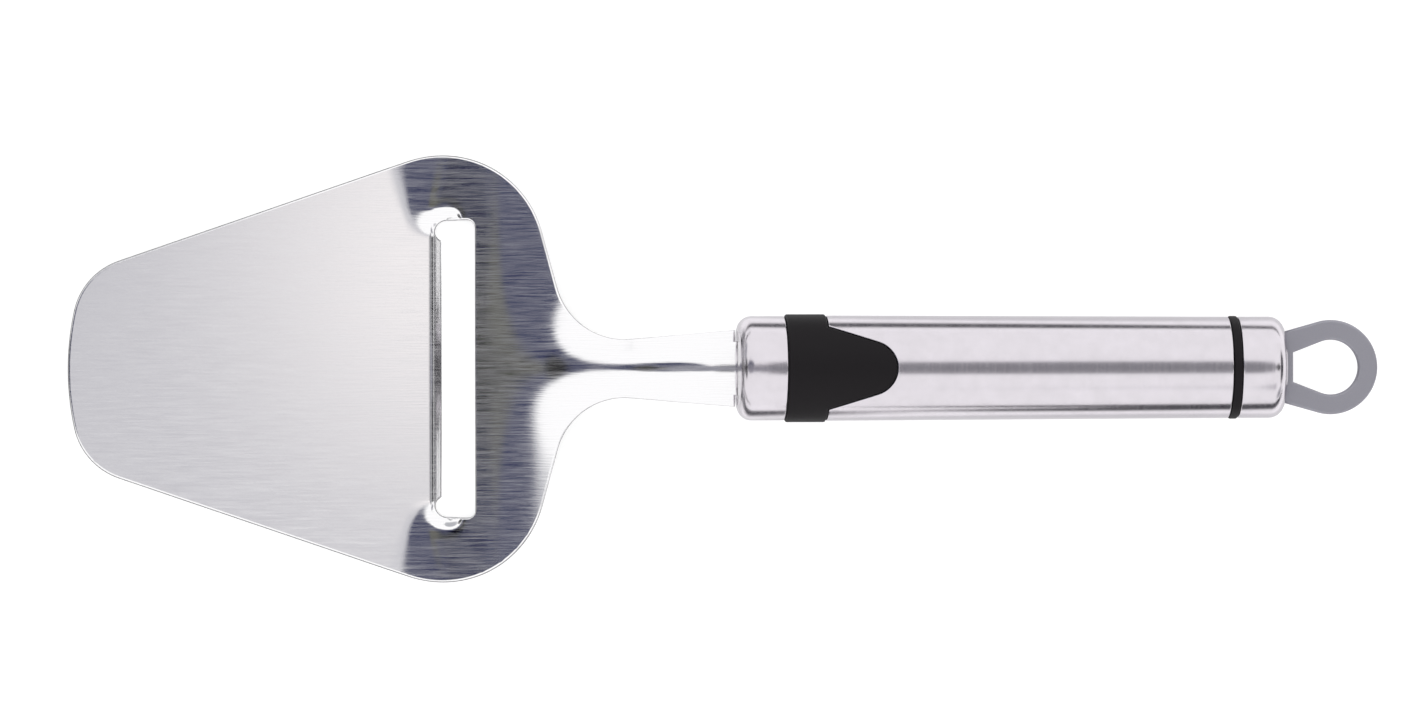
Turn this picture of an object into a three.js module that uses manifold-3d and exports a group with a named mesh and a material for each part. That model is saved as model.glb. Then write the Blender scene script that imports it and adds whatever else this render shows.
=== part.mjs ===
// Cheese slicer: a pressed steel blade with a cutting slot, on a hollow steel handle with a hanging loop.
// Millimetres, +Z up. It lies as on a table, on its cutting edge and on the rear end of its handle.
import * as THREE from "three";
import { mergeVertices } from "three/addons/utils/BufferGeometryUtils.js";
import Module from "manifold-3d";

const wasm = await Module();
wasm.setup();

// Blade outline seen from above, with stations measured from the tip.
const SHEET_THICKNESS = 1.2;
const TIP_RADIUS = 53;
const TIP_CORNER_RADIUS = 13;
const FLANK_ANGLE = THREE.MathUtils.degToRad(19);
const BLADE_WIDTH = 81.6;
const WIDEST_STATION = 71.2;
const SHOULDER_RADIUS = 20;
const SHOULDER_SIDE_ANGLE = THREE.MathUtils.degToRad(75);
const NECK_FILLET_RADIUS = 13.3;
const NECK_WIDTH = 11;
const NECK_END_WIDTH = 14.4;
const NECK_END_GAP = 0.6;
const BLADE_REACH = 127.6;
const TANG_WIDTH = 10;
const TANG_LENGTH = 26;

// Cutting slot, with a round relief hole at each end of the cutting edge.
const EDGE_STATION = 71.2;
const SLOT_OPENING = 6.3;
const SLOT_LENGTH = 56.8;
const SLOT_CORNER_RADIUS = 1.5;
const RELIEF_RADIUS = 2.05;
const RELIEF_DEPTH = 1.1;

// Pressed form of the sheet: the blade rises to its tip, and the rear rises to the neck.
const BLADE_RISE_ANGLE = THREE.MathUtils.degToRad(5);
const REAR_RISE_ANGLE = THREE.MathUtils.degToRad(17);
const CREASE_SETBACK = 4.7;
const CREASE_LENGTH = 4.4;
const LIP_LENGTH = 1.9;
const LIP_BEND_LENGTH = 0.8;
const LIP_ANGLE = THREE.MathUtils.degToRad(35);
const LIP_BEVEL_LENGTH = 1.1;
const CUTTING_EDGE_THICKNESS = 0.2;
const TONGUE_LENGTH = 50;
const TONGUE_SIDE_WIDTH = 6;
const TONGUE_RUN_OUT = 3.4;
const ROLL_LENGTH = 26;
const ROLL_WIDTH = 12;
const NECK_ROLL_RADIUS = 7.6;
const NECK_SWEEP_LENGTH = 16;
const NECK_STRAIGHT_LENGTH = 4;

// Handle, with lengths along its own axis.
const HANDLE_TILT = THREE.MathUtils.degToRad(5);
const TANG_CREST_HEIGHT = 1.3;
const STEEL_WALL = 0.8;
const FIT_GAP = 0.3;
const FRONT_CAP_LENGTH = 9;
const FRONT_CAP_DIAMETER = 19.8;
const FRONT_CAP_EDGE_RADIUS = 2.65;
const COLLAR_LENGTH = 7.5;
const COLLAR_DIAMETER = 20.5;
const COLLAR_EDGE_RADIUS = 0.4;
const THUMB_PAD_LENGTH = 12.8;
const THUMB_PAD_WIDTH = 15.8;
const THUMB_PAD_TIP_RADIUS = 5.2;
const TUBE_LENGTH = 76.6;
const TUBE_FRONT_DIAMETER = 20;
const TUBE_REAR_DIAMETER = 19.3;
const SEAL_RING_LENGTH = 1.5;
const SEAL_RING_DIAMETER = 19.6;
const REAR_CAP_LENGTH = 8.7;
const REAR_CAP_DIAMETER = 19.3;
const REAR_CAP_EDGE_RADIUS = 2.85;
const FRONT_CORE_LENGTH = 36;
const REAR_CORE_LENGTH = 20;
const CORE_CHAMFER = 0.8;
const PIN_DIAMETER = 3;
const PIN_END_COVER = 1;

// Hanging loop, with stations measured from the rear face of the handle.
const LOOP_THICKNESS = 2;
const LOOP_ROOT_WIDTH = 13.6;
const LOOP_CENTRE_REACH = 9.1;
const LOOP_OUTER_RADIUS = 9;
const LOOP_HOLE_RADIUS = 5.2;
const LOOP_HOLE_START = 1.9;
const LOOP_HOLE_START_WIDTH = 5.6;
const LOOP_TAIL_WIDTH = 9;
const LOOP_TAIL_LENGTH = 14;

// Fineness of the curved surfaces.
const ROUND_STEPS = 48;
const EDGE_STEPS = 3;
const OUTLINE_STEPS = 10;
const PIN_STEPS = 16;
const CREASE_STEPS = 5;
const LIP_BEND_STEPS = 3;
const RUN_OUT_STEPS = 4;
const ROLL_STEPS = 10;
const NECK_STEPS = 10;
const SIDE_STEPS = 6;
const TANG_ROOM_STEPS = 12;
const SLOPE_STEP = 0.01;

const clamp = THREE.MathUtils.clamp;
const smoothstep = THREE.MathUtils.smoothstep;

// A closed geometry as a solid that can be joined and cut.
function solidOf(geometry) {
  geometry.deleteAttribute("normal");
  geometry.deleteAttribute("uv");
  const merged = mergeVertices(geometry);
  const corners = merged.index.array;
  const triangles = [];
  for (let i = 0; i < corners.length; i += 3) {
    const [a, b, c] = corners.slice(i, i + 3);
    if (a !== b && b !== c && c !== a) triangles.push(a, b, c);
  }
  return new wasm.Manifold(
    new wasm.Mesh({
      numProp: 3,
      vertProperties: Float32Array.from(merged.attributes.position.array),
      triVerts: Uint32Array.from(triangles),
    }),
  );
}

// A named mesh of a solid, in its own finish.
function meshOf(name, solid, finish) {
  const { vertProperties, triVerts } = solid.getMesh();
  const geometry = new THREE.BufferGeometry();
  geometry.setAttribute("position", new THREE.BufferAttribute(vertProperties, 3));
  geometry.setIndex(new THREE.BufferAttribute(triVerts, 1));
  geometry.computeVertexNormals();
  const mesh = new THREE.Mesh(geometry, new THREE.MeshStandardMaterial(finish));
  mesh.name = name;
  return mesh;
}

// A solid of revolution on the handle's axis, from a profile drawn as station and radius.
function revolve(profile) {
  const points = profile.getPoints(EDGE_STEPS).map(({ x, y }) => new THREE.Vector2(y, x));
  return solidOf(new THREE.LatheGeometry(points, ROUND_STEPS).rotateZ(-Math.PI / 2));
}

// A flat outline given thickness along Z, from one height to another.
function extrude(shape, bottom, top) {
  const options = { depth: top - bottom, bevelEnabled: false, curveSegments: OUTLINE_STEPS };
  return solidOf(new THREE.ExtrudeGeometry(shape, options).translate(0, 0, bottom));
}

// An upright round bar through the handle's axis.
function uprightBar(station, diameter, length) {
  const bar = new THREE.CylinderGeometry(diameter / 2, diameter / 2, length, PIN_STEPS);
  return solidOf(bar.rotateX(Math.PI / 2).translate(station, 0, 0));
}

// Round end of a drop-shaped outline: straight sides from the root corners, tangent to an end circle.
function addDrop(path, root, rootWidth, centre, radius) {
  const half = rootWidth / 2;
  const towardsCorner = Math.atan2(half, root - centre);
  const touch = towardsCorner - Math.acos(radius / Math.hypot(half, root - centre));
  path.lineTo(root, -half);
  path.absarc(centre, 0, radius, -touch, touch, false);
  path.lineTo(root, half);
  return path;
}

// Stations along the handle, counted from the face of the front cap.
const collarStart = FRONT_CAP_LENGTH + FIT_GAP;
const collarEnd = collarStart + COLLAR_LENGTH;
const tubeStart = collarEnd + FIT_GAP;
const tubeEnd = tubeStart + TUBE_LENGTH;
const sealStart = tubeEnd + FIT_GAP;
const sealEnd = sealStart + SEAL_RING_LENGTH;
const rearCapStart = sealEnd + FIT_GAP;
const handleEnd = rearCapStart + REAR_CAP_LENGTH;

// The handle slopes down to its rear cap, whose rounded edge rests on the table.
const rearEdgeRing = REAR_CAP_DIAMETER / 2 - REAR_CAP_EDGE_RADIUS;
const handleHeight =
  (handleEnd - REAR_CAP_EDGE_RADIUS) * Math.sin(HANDLE_TILT) +
  rearEdgeRing * Math.cos(HANDLE_TILT) +
  REAR_CAP_EDGE_RADIUS;
const handlePlace = new THREE.Matrix4()
  .makeRotationY(HANDLE_TILT)
  .setPosition(BLADE_REACH, 0, handleHeight);

// Centres of the blade outline's arcs, each tangent to its neighbours.
const shoulder = new THREE.Vector2(WIDEST_STATION, BLADE_WIDTH / 2 - SHOULDER_RADIUS);
const flankNormal = new THREE.Vector2(-Math.sin(FLANK_ANGLE), Math.cos(FLANK_ANGLE));
const flankReach = flankNormal.dot(shoulder) + SHOULDER_RADIUS;
const cornerSpread = TIP_RADIUS - TIP_CORNER_RADIUS;
const cornerDepth = flankReach - TIP_CORNER_RADIUS + TIP_RADIUS * Math.sin(FLANK_ANGLE);
const cornerAngle = Math.PI + FLANK_ANGLE - Math.asin(cornerDepth / cornerSpread);
const corner = new THREE.Vector2(cornerSpread, 0)
  .rotateAround(new THREE.Vector2(), cornerAngle)
  .add(new THREE.Vector2(TIP_RADIUS, 0));
const sideNormalAngle = Math.PI / 2 - SHOULDER_SIDE_ANGLE;
const sideNormal = new THREE.Vector2(Math.cos(sideNormalAngle), Math.sin(sideNormalAngle));
const filletHeight = NECK_WIDTH / 2 + NECK_FILLET_RADIUS;
const filletReach = sideNormal.dot(shoulder) + SHOULDER_RADIUS + NECK_FILLET_RADIUS;
const neckStart = (filletReach - sideNormal.y * filletHeight) / sideNormal.x;
const neckEnd = BLADE_REACH - NECK_END_GAP;
const tangEnd = BLADE_REACH + TANG_LENGTH * Math.cos(HANDLE_TILT);
const trimHeight = handleHeight + FRONT_CAP_DIAMETER;

// Blade outline from above, tip to tang and back, with its cutting slot.
function bladeOutline() {
  const flankSide = Math.PI / 2 + FLANK_ANGLE;
  const filletSide = Math.PI + sideNormalAngle;
  const filletEnd = Math.PI * 1.5;
  const outline = new THREE.Shape();
  outline.absarc(TIP_RADIUS, 0, TIP_RADIUS, cornerAngle, 2 * Math.PI - cornerAngle, false);
  outline.absarc(corner.x, -corner.y, TIP_CORNER_RADIUS, -cornerAngle, -flankSide, false);
  outline.absarc(shoulder.x, -shoulder.y, SHOULDER_RADIUS, -flankSide, -sideNormalAngle, false);
  outline.absarc(neckStart, -filletHeight, NECK_FILLET_RADIUS, -filletSide, -filletEnd, true);
  outline.lineTo(neckEnd, -NECK_END_WIDTH / 2);
  outline.lineTo(neckEnd, -TANG_WIDTH / 2);
  outline.lineTo(tangEnd, -TANG_WIDTH / 2);
  outline.lineTo(tangEnd, TANG_WIDTH / 2);
  outline.lineTo(neckEnd, TANG_WIDTH / 2);
  outline.lineTo(neckEnd, NECK_END_WIDTH / 2);
  outline.absarc(neckStart, filletHeight, NECK_FILLET_RADIUS, filletEnd, filletSide, true);
  outline.absarc(shoulder.x, shoulder.y, SHOULDER_RADIUS, sideNormalAngle, flankSide, false);
  outline.absarc(corner.x, corner.y, TIP_CORNER_RADIUS, flankSide, cornerAngle, false);
  outline.holes.push(slotOutline());
  return outline;
}

function slotOutline() {
  const relief = EDGE_STATION - RELIEF_DEPTH + RELIEF_RADIUS;
  const reliefSide = SLOT_LENGTH / 2 - RELIEF_RADIUS;
  const rear = EDGE_STATION + SLOT_OPENING - SLOT_CORNER_RADIUS;
  const rearSide = SLOT_LENGTH / 2 - SLOT_CORNER_RADIUS;
  const edgeMeets = Math.PI + Math.acos((relief - EDGE_STATION) / RELIEF_RADIUS);
  const slot = new THREE.Path();
  slot.absarc(relief, reliefSide, RELIEF_RADIUS, edgeMeets, Math.PI / 2, true);
  slot.absarc(rear, rearSide, SLOT_CORNER_RADIUS, Math.PI / 2, 0, true);
  slot.absarc(rear, -rearSide, SLOT_CORNER_RADIUS, 0, -Math.PI / 2, true);
  slot.absarc(relief, -reliefSide, RELIEF_RADIUS, -Math.PI / 2, -edgeMeets, true);
  return slot;
}

// Rounded bend of a straight line: nothing before it, one to one after it.
function bend(distance, length) {
  const half = length / 2;
  if (distance <= -half) return 0;
  return distance >= half ? distance : (distance + half) ** 2 / (2 * length);
}

// Heights of the sheet's upper side along its middle line.
const bladeSlope = Math.tan(BLADE_RISE_ANGLE);
const rearSlope = Math.tan(REAR_RISE_ANGLE);
const lipSlope = Math.tan(LIP_ANGLE);
const creaseStation = EDGE_STATION - CREASE_SETBACK;
const lipStation = EDGE_STATION - LIP_LENGTH;
const lipOver = EDGE_STATION + LIP_BEND_LENGTH;
const creaseHeight =
  (CREASE_SETBACK - LIP_LENGTH) * bladeSlope + LIP_LENGTH * lipSlope + CUTTING_EDGE_THICKNESS;
const sweepStart = neckStart - NECK_SWEEP_LENGTH;
const sweepEnd = BLADE_REACH - NECK_STRAIGHT_LENGTH;
const tangSlope = -Math.tan(HANDLE_TILT);
const tangHeight = handleHeight + TANG_CREST_HEIGHT / Math.cos(HANDLE_TILT);

function shoulderHeight(x) {
  const fromCrease = x - creaseStation;
  return creaseHeight - bladeSlope * fromCrease + (bladeSlope + rearSlope) * bend(fromCrease, CREASE_LENGTH);
}

function tongueHeight(x) {
  const reach = Math.min(x, lipOver);
  const lipDrop = (lipSlope - bladeSlope) * bend(reach - lipStation, LIP_BEND_LENGTH);
  return creaseHeight - bladeSlope * (reach - creaseStation) - lipDrop;
}

function tangLineHeight(x) {
  return tangHeight + tangSlope * (x - BLADE_REACH);
}

// Middle line from crease to tang: straight, then a sweep that leaves and arrives tangent, then the tang.
function middleHeight(x) {
  if (x <= sweepStart) return shoulderHeight(x);
  if (x >= sweepEnd) return tangLineHeight(x);
  const run = sweepEnd - sweepStart;
  const t = (x - sweepStart) / run;
  const eased = smoothstep(x, sweepStart, sweepEnd);
  const rise = THREE.MathUtils.lerp(shoulderHeight(sweepStart), tangLineHeight(sweepEnd), eased);
  const leaving = run * rearSlope * t * (1 - t) ** 2;
  const arriving = run * tangSlope * t * t * (t - 1);
  return rise + leaving + arriving;
}

// How far the tongue in front of the slot has been pressed away from the shoulders: 0 to 1.
function tongueShare(x, y) {
  const inside = TONGUE_LENGTH / 2;
  const across = 1 - smoothstep(Math.abs(y), inside, inside + TONGUE_SIDE_WIDTH);
  return across * (1 - smoothstep(x, lipOver, lipOver + TONGUE_RUN_OUT));
}

// How far the sheet's sides are rolled down: fully at the neck, fading into the shoulders.
function rollDrop(x, y) {
  const rolled = clamp((x - neckStart + ROLL_LENGTH) / ROLL_LENGTH, 0, 1);
  const reach = ROLL_WIDTH * Math.tanh(y / ROLL_WIDTH);
  return (rolled * reach) ** 2 / (2 * NECK_ROLL_RADIUS);
}

function sheetHeight(x, y) {
  const pressed = tongueShare(x, y);
  const form = pressed ? THREE.MathUtils.lerp(middleHeight(x), tongueHeight(x), pressed) : middleHeight(x);
  return form - rollDrop(x, y);
}

// The sheet thins to the cutting edge, ground from below.
function sheetThickness(x, y) {
  const ground = clamp((x - EDGE_STATION + LIP_BEVEL_LENGTH) / LIP_BEVEL_LENGTH, 0, 1);
  return SHEET_THICKNESS - (SHEET_THICKNESS - CUTTING_EDGE_THICKNESS) * ground * tongueShare(x, y);
}

// A pressed sheet over a grid of stations, from its upper side down by a thickness.
function pressedSheet(stations, sides, height, thickness) {
  const positions = [];
  const normal = new THREE.Vector3();
  for (const layer of [0, 1]) {
    for (const x of stations) {
      for (const y of sides) {
        const slopeX = (height(x + SLOPE_STEP, y) - height(x - SLOPE_STEP, y)) / (2 * SLOPE_STEP);
        const slopeY = (height(x, y + SLOPE_STEP) - height(x, y - SLOPE_STEP)) / (2 * SLOPE_STEP);
        normal.set(-slopeX, -slopeY, 1).normalize().multiplyScalar(layer * thickness(x, y));
        positions.push(x - normal.x, y - normal.y, height(x, y) - normal.z);
      }
    }
  }
  const across = sides.length;
  const under = stations.length * across;
  const index = [];
  const quad = (a, b, c, d) => index.push(a, b, c, a, c, d);
  for (let i = 0; i + 1 < stations.length; i += 1) {
    for (let j = 0; j + 1 < across; j += 1) {
      const a = i * across + j;
      quad(a, a + across, a + across + 1, a + 1);
      quad(under + a, under + a + 1, under + a + across + 1, under + a + across);
    }
    const left = i * across;
    const right = left + across - 1;
    quad(left, under + left, under + left + across, left + across);
    quad(right, right + across, under + right + across, under + right);
  }
  const last = under - across;
  for (let j = 0; j + 1 < across; j += 1) {
    quad(j, j + 1, under + j + 1, under + j);
    quad(last + j, under + last + j, under + last + j + 1, last + j + 1);
  }
  const geometry = new THREE.BufferGeometry();
  geometry.setAttribute("position", new THREE.Float32BufferAttribute(positions, 3));
  geometry.setIndex(index);
  return solidOf(geometry);
}

// Even steps from one value to another, both ends included.
function steps(from, to, count) {
  return Array.from({ length: count + 1 }, (_, i) => THREE.MathUtils.lerp(from, to, i / count));
}

function slicerPlate() {
  const margin = SHEET_THICKNESS;
  const creaseStart = creaseStation - CREASE_LENGTH / 2;
  const lipStart = lipStation - LIP_BEND_LENGTH / 2;
  const stations = [
    -margin,
    ...steps(creaseStart, creaseStart + CREASE_LENGTH, CREASE_STEPS),
    ...steps(lipStart, lipStart + LIP_BEND_LENGTH, LIP_BEND_STEPS),
    EDGE_STATION - LIP_BEVEL_LENGTH,
    EDGE_STATION,
    ...steps(lipOver, lipOver + TONGUE_RUN_OUT, RUN_OUT_STEPS),
    EDGE_STATION + SLOT_OPENING,
    ...steps(neckStart - ROLL_LENGTH, neckStart, ROLL_STEPS),
    ...steps(neckStart, BLADE_REACH, NECK_STEPS),
    tangEnd + margin,
  ].sort((a, b) => a - b);
  const neckSide = NECK_END_WIDTH / 2;
  const tongueSide = TONGUE_LENGTH / 2;
  const oneSide = [
    ...steps(0, neckSide, SIDE_STEPS),
    ...steps(neckSide, tongueSide, SIDE_STEPS),
    ...steps(tongueSide, tongueSide + TONGUE_SIDE_WIDTH, SIDE_STEPS),
    BLADE_WIDTH / 2 + margin,
  ];
  const sides = [...new Set([...oneSide, ...oneSide.map((y) => -y)])].sort((a, b) => a - b);
  const sheet = pressedSheet(stations, sides, sheetHeight, sheetThickness);
  const pinHole = uprightBar(tangPinStation, PIN_DIAMETER + 2 * FIT_GAP, COLLAR_DIAMETER);
  return sheet
    .intersect(extrude(bladeOutline(), -trimHeight, trimHeight))
    .subtract(pinHole.transform(handlePlace.elements));
}

// Room for the tang, in the handle's own frame.
function tangRoom() {
  const half = TANG_WIDTH / 2 + FIT_GAP;
  const end = tangEnd + FIT_GAP;
  const outline = new THREE.Shape();
  outline.moveTo(neckEnd, -half).lineTo(end, -half).lineTo(end, half).lineTo(neckEnd, half);
  const reach = half + SHEET_THICKNESS;
  const room = pressedSheet(
    [neckEnd - FIT_GAP, BLADE_REACH, end + SHEET_THICKNESS],
    steps(-reach, reach, TANG_ROOM_STEPS),
    (x, y) => sheetHeight(x, y) + FIT_GAP,
    () => SHEET_THICKNESS + 2 * FIT_GAP,
  );
  const trimmed = room.intersect(extrude(outline, 0, trimHeight));
  return trimmed.transform(handlePlace.clone().invert().elements);
}

// A cup drawn from steel, open towards +X, with a rounded edge round its closed face.
function drawnCup(diameter, length, edgeRadius) {
  const radius = diameter / 2;
  const inner = radius - STEEL_WALL;
  const cup = new THREE.Path();
  cup.moveTo(0, 0);
  cup.lineTo(0, radius - edgeRadius);
  cup.absarc(edgeRadius, radius - edgeRadius, edgeRadius, Math.PI, Math.PI / 2, true);
  cup.lineTo(length, radius);
  cup.lineTo(length, inner);
  cup.absarc(edgeRadius, radius - edgeRadius, edgeRadius - STEEL_WALL, Math.PI / 2, Math.PI, false);
  cup.lineTo(STEEL_WALL, 0);
  return revolve(cup);
}

// A sleeve round the handle's axis, whose outside may taper.
function sleeve(start, end, inside, outsideStart, outsideEnd) {
  const ring = new THREE.Path();
  ring.moveTo(start, inside[0]);
  ring.lineTo(start, outsideStart);
  ring.lineTo(end, outsideEnd);
  ring.lineTo(end, inside[1]);
  ring.lineTo(start, inside[0]);
  return revolve(ring);
}

// A solid round plug with chamfered ends.
function plug(start, end, radius) {
  const body = new THREE.Path();
  body.moveTo(start, 0);
  body.lineTo(start, radius - CORE_CHAMFER);
  body.lineTo(start + CORE_CHAMFER, radius);
  body.lineTo(end - CORE_CHAMFER, radius);
  body.lineTo(end, radius - CORE_CHAMFER);
  body.lineTo(end, 0);
  return revolve(body);
}

const frontCoreStart = STEEL_WALL + FIT_GAP;
const frontCoreRadius = FRONT_CAP_DIAMETER / 2 - STEEL_WALL - FIT_GAP;
const rearCoreEnd = handleEnd - STEEL_WALL - FIT_GAP;
const rearCoreStart = rearCoreEnd - REAR_CORE_LENGTH;
const rearCoreRadius = REAR_CAP_DIAMETER / 2 - STEEL_WALL - FIT_GAP;
const tangPinStation = collarStart + COLLAR_LENGTH / 2;
const loopTailEnd = handleEnd - LOOP_TAIL_LENGTH;
const loopPinStation = (loopTailEnd + rearCoreEnd) / 2;

function frontCap() {
  return drawnCup(FRONT_CAP_DIAMETER, FRONT_CAP_LENGTH, FRONT_CAP_EDGE_RADIUS).subtract(tangRoom());
}

function frontCore() {
  const hole = uprightBar(tangPinStation, PIN_DIAMETER + 2 * FIT_GAP, frontCoreRadius * 2 + FIT_GAP);
  const body = plug(frontCoreStart, frontCoreStart + FRONT_CORE_LENGTH, frontCoreRadius);
  return body.subtract(tangRoom()).subtract(hole);
}

// Upright cutter with the thumb pad's outline, grown by a gap.
function thumbPadPrism(gap) {
  const outline = new THREE.Shape();
  outline.moveTo(collarStart + COLLAR_LENGTH / 2, -THUMB_PAD_WIDTH / 2 - gap);
  const tip = collarEnd + THUMB_PAD_LENGTH - THUMB_PAD_TIP_RADIUS;
  addDrop(outline, collarEnd, THUMB_PAD_WIDTH + 2 * gap, tip, THUMB_PAD_TIP_RADIUS + gap);
  outline.lineTo(collarStart + COLLAR_LENGTH / 2, THUMB_PAD_WIDTH / 2 + gap);
  return extrude(outline, 0, COLLAR_DIAMETER);
}

function thumbCollar() {
  const inside = frontCoreRadius + FIT_GAP;
  const outside = COLLAR_DIAMETER / 2;
  const edge = COLLAR_EDGE_RADIUS;
  const ring = new THREE.Path();
  ring.moveTo(collarStart, inside);
  ring.lineTo(collarStart, outside - edge);
  ring.absarc(collarStart + edge, outside - edge, edge, Math.PI, Math.PI / 2, true);
  ring.absarc(collarEnd - edge, outside - edge, edge, Math.PI / 2, 0, true);
  ring.lineTo(collarEnd, inside);
  ring.lineTo(collarStart, inside);
  const padEnd = collarEnd + THUMB_PAD_LENGTH + FIT_GAP;
  const padShell = sleeve(collarStart + edge, padEnd, [inside, inside], outside, outside);
  return revolve(ring).add(padShell.intersect(thumbPadPrism(0)));
}

function handleTube() {
  const front = TUBE_FRONT_DIAMETER / 2;
  const rear = TUBE_REAR_DIAMETER / 2;
  const tube = sleeve(tubeStart, tubeEnd, [front - STEEL_WALL, rear - STEEL_WALL], front, rear);
  return tube.subtract(thumbPadPrism(FIT_GAP));
}

function sealRing() {
  const inside = rearCoreRadius + FIT_GAP;
  const outside = SEAL_RING_DIAMETER / 2;
  return sleeve(sealStart, sealEnd, [inside, inside], outside, outside);
}

// Room for the loop's tail through the rear cap and into the rear core.
function tailRoom() {
  const length = LOOP_TAIL_LENGTH + 2 * FIT_GAP;
  const room = new THREE.BoxGeometry(length, LOOP_TAIL_WIDTH + 2 * FIT_GAP, LOOP_THICKNESS + 2 * FIT_GAP);
  return solidOf(room.translate(handleEnd - LOOP_TAIL_LENGTH / 2, 0, 0));
}

function rearCap() {
  const turn = new THREE.Matrix4().makeRotationZ(Math.PI).setPosition(handleEnd, 0, 0);
  const cup = drawnCup(REAR_CAP_DIAMETER, REAR_CAP_LENGTH, REAR_CAP_EDGE_RADIUS);
  return cup.transform(turn.elements).subtract(tailRoom());
}

function rearCore() {
  const hole = uprightBar(loopPinStation, PIN_DIAMETER + 2 * FIT_GAP, rearCoreRadius * 2 + FIT_GAP);
  return plug(rearCoreStart, rearCoreEnd, rearCoreRadius).subtract(tailRoom()).subtract(hole);
}

function hangingLoop() {
  const root = handleEnd + FIT_GAP;
  const centre = handleEnd + LOOP_CENTRE_REACH;
  const outline = new THREE.Shape();
  outline.moveTo(loopTailEnd, -LOOP_TAIL_WIDTH / 2);
  outline.lineTo(root, -LOOP_TAIL_WIDTH / 2);
  addDrop(outline, root, LOOP_ROOT_WIDTH, centre, LOOP_OUTER_RADIUS);
  outline.lineTo(root, LOOP_TAIL_WIDTH / 2);
  outline.lineTo(loopTailEnd, LOOP_TAIL_WIDTH / 2);
  const hole = new THREE.Path();
  const holeStart = handleEnd + LOOP_HOLE_START;
  hole.moveTo(holeStart, 0);
  addDrop(hole, holeStart, LOOP_HOLE_START_WIDTH, centre, LOOP_HOLE_RADIUS);
  const pinHole = new THREE.Path();
  pinHole.absarc(loopPinStation, 0, PIN_DIAMETER / 2 + FIT_GAP, 0, 2 * Math.PI, true);
  outline.holes.push(hole, pinHole);
  return extrude(outline, -LOOP_THICKNESS / 2, LOOP_THICKNESS / 2);
}

function crossPin(station, coreRadius) {
  return uprightBar(station, PIN_DIAMETER, 2 * (coreRadius - PIN_END_COVER));
}

const brushedSteel = { color: 0xc9ccd0, metalness: 1, roughness: 0.3 };
const satinSteel = { color: 0xd2d4d6, metalness: 1, roughness: 0.25 };
const mattSteel = { color: 0x8c8d94, metalness: 1, roughness: 0.55 };
const blackPlastic = { color: 0x222426, metalness: 0, roughness: 0.6 };
const greyPlastic = { color: 0x6f7275, metalness: 0, roughness: 0.7 };

const handle = new THREE.Group();
handle.applyMatrix4(handlePlace);
handle.add(
  meshOf("front_cap", frontCap(), satinSteel),
  meshOf("front_core", frontCore(), greyPlastic),
  meshOf("tang_pin", crossPin(tangPinStation, frontCoreRadius), brushedSteel),
  meshOf("thumb_collar", thumbCollar(), blackPlastic),
  meshOf("handle_tube", handleTube(), satinSteel),
  meshOf("seal_ring", sealRing(), blackPlastic),
  meshOf("rear_core", rearCore(), greyPlastic),
  meshOf("rear_cap", rearCap(), satinSteel),
  meshOf("hanging_loop", hangingLoop(), mattSteel),
  meshOf("loop_pin", crossPin(loopPinStation, rearCoreRadius), brushedSteel),
);

const slicer = new THREE.Group();
slicer.add(meshOf("slicer_plate", slicerPlate(), brushedSteel), handle);

// Origin under the middle of the part, on the table.
const box = new THREE.Box3().setFromObject(slicer, true);
const middle = box.getCenter(new THREE.Vector3());
slicer.position.set(-middle.x, -middle.y, -box.min.z);

export default slicer;
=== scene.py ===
import math

import bmesh
import bpy
from mathutils import Matrix, Vector


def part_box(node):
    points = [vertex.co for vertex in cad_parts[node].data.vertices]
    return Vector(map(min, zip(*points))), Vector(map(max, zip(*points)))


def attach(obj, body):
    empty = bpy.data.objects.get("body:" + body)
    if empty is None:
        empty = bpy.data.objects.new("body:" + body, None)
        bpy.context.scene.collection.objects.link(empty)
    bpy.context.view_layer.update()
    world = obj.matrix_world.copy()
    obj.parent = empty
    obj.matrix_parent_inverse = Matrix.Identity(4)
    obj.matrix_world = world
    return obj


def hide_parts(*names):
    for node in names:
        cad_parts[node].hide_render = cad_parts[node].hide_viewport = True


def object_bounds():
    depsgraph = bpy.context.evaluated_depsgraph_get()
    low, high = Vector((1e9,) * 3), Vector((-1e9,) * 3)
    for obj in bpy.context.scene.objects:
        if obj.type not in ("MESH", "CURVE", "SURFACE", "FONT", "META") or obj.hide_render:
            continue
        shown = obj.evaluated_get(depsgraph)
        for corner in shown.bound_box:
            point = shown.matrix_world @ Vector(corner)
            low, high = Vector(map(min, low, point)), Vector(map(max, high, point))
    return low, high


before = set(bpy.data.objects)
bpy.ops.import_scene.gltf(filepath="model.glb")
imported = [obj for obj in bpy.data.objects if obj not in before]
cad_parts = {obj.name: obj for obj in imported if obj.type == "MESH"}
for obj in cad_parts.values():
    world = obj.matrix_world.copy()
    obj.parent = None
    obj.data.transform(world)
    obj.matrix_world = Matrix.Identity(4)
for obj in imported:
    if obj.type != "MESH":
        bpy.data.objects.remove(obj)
cad_low, cad_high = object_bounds()

# Camera: straight above the slicer, through a long lens, with the blade's tip on the left.
# Its place follows from where the tip, the loop's end and the middle line lie in the photograph.
PHOTO_WIDTH = 1420
PHOTO_HEIGHT = 728
TIP_PIXEL = 66
LOOP_END_PIXEL = 1379.5
MIDDLE_LINE_PIXEL = 368.4
LENS = 300
SENSOR_WIDTH = 36
FAR_CLIP = 50
CAMERA_ROLL = math.radians(-0.12)

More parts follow.
